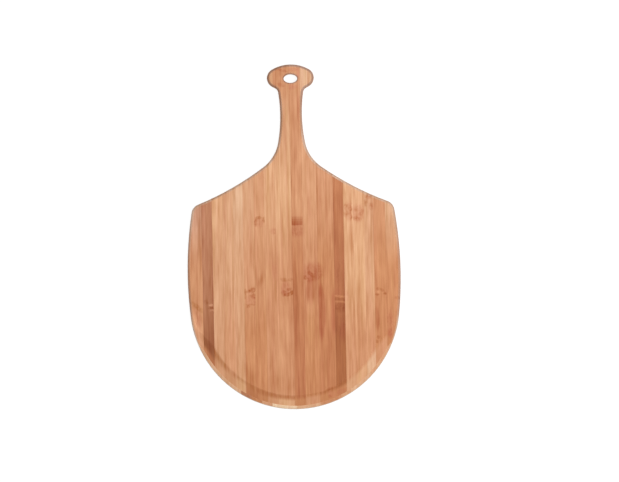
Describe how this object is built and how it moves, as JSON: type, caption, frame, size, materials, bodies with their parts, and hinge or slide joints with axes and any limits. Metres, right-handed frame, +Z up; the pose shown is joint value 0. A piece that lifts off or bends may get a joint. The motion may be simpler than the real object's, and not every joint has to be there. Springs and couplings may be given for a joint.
{
  "type": "serving board",
  "caption": "Bamboo serving board with a peel outline: strip-laminated blade with a bevelled round nose, hollow shoulders, slim neck and an oval knob with a hanging hole.",
  "frame": {"origin": "middle of the underside: the centre of the board's length and width, on the plane it rests on", "axes": "+Y along the board towards the handle, +X across the blade, +Z up out of the serving face"},
  "size_m": [0.305, 0.494, 0.01],
  "materials": {
    "bamboo_pale": "sanded and oiled, satin",
    "bamboo_honey": "sanded and oiled, satin",
    "bamboo_amber": "sanded and oiled, satin",
    "bamboo_dark": "sanded and oiled, satin"
  },
  "bodies": {
    "root": {"back_strip_left_01": "bamboo_pale", "back_strip_left_02": "bamboo_pale", "back_strip_left_02_knob": "bamboo_pale", "back_strip_left_03": "bamboo_honey", "back_strip_left_04": "bamboo_amber", "back_strip_left_05": "bamboo_honey", "back_strip_left_06": "bamboo_pale", "back_strip_left_07": "bamboo_honey", "back_strip_left_08": "bamboo_amber", "back_strip_left_09": "bamboo_honey", "back_strip_left_10": "bamboo_pale", "back_strip_right_01": "bamboo_pale", "back_strip_right_02": "bamboo_pale", "back_strip_right_02_knob": "bamboo_pale", "back_strip_right_03": "bamboo_amber", "back_strip_right_04": "bamboo_honey", "back_strip_right_05": "bamboo_honey", "back_strip_right_06": "bamboo_dark", "back_strip_right_07": "bamboo_honey", "back_strip_right_08": "bamboo_pale", "back_strip_right_09": "bamboo_honey", "back_strip_right_10": "bamboo_amber", "face_strip_left_01": "bamboo_honey", "face_strip_left_02": "bamboo_honey", "face_strip_left_02_knob": "bamboo_honey", "face_strip_left_03": "bamboo_honey", "face_strip_left_04": "bamboo_honey", "face_strip_left_05": "bamboo_pale", "face_strip_left_06": "bamboo_pale", "face_strip_left_07": "bamboo_pale", "face_strip_left_08": "bamboo_dark", "face_strip_left_09": "bamboo_honey", "face_strip_right_01": "bamboo_amber", "face_strip_right_02": "bamboo_honey", "face_strip_right_03": "bamboo_amber", "face_strip_right_04": "bamboo_dark", "face_strip_right_05": "bamboo_pale", "face_strip_right_06": "bamboo_pale", "face_strip_right_07": "bamboo_pale", "face_strip_right_08": "bamboo_honey", "face_strip_right_09": "bamboo_honey"}
  },
  "joints": []
}
